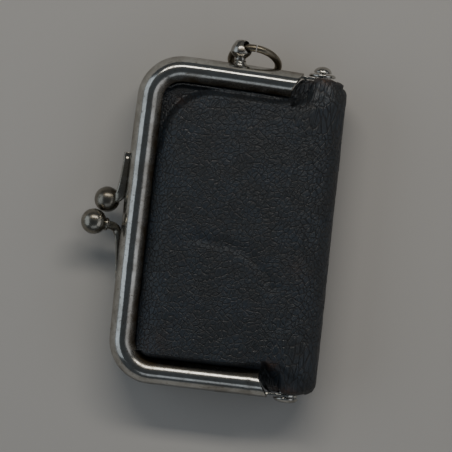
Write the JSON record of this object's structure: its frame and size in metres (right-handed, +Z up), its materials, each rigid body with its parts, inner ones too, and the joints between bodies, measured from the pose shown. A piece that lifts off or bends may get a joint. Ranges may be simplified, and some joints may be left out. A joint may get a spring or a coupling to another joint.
{
  "type": "coin holder",
  "caption": "Leather coin purse in a hinged metal snap frame, with a ball clasp on its long side and a carrying ring on a turned knob at one end.",
  "frame": {"origin": "middle of the flat underside of the back panel, on the surface that the purse lies on", "axes": "+X from the clasp side to the leather spine, +Y along the length to the end with the ring, +Z up out of the front panel"},
  "size_m": [0.067, 0.0945, 0.0183],
  "materials": {
    "black_leather": "pebbled black goatskin with a bluish cast, polished on the raised panel and worn red-brown at the folds",
    "nickel_silver": "old nickel silver, bright along the crest of the frame, with yellow-brown tarnish and fine scratches",
    "ring_wire": "tarnished wire, brown-grey with a dull shine"
  },
  "bodies": {
    "purse": {"leather_body": "black_leather", "front_frame": "nickel_silver", "back_frame": "nickel_silver", "clasp_upper": "nickel_silver", "clasp_lower": "nickel_silver", "hinge_rivet_top": "nickel_silver", "hinge_washer_top": "nickel_silver", "hinge_rivet_bottom": "nickel_silver", "ring_knob": "nickel_silver"},
    "ring": {"carry_ring": "ring_wire"}
  },
  "joints": [
    {"name": "ring_swing", "type": "hinge", "parent": "purse", "child": "ring", "pos_m": [-0.00219, 0.04748, 0.0106], "axis": [0.7946, 0.2661, 0.5457], "range_deg": [0, 220]}
  ]
}
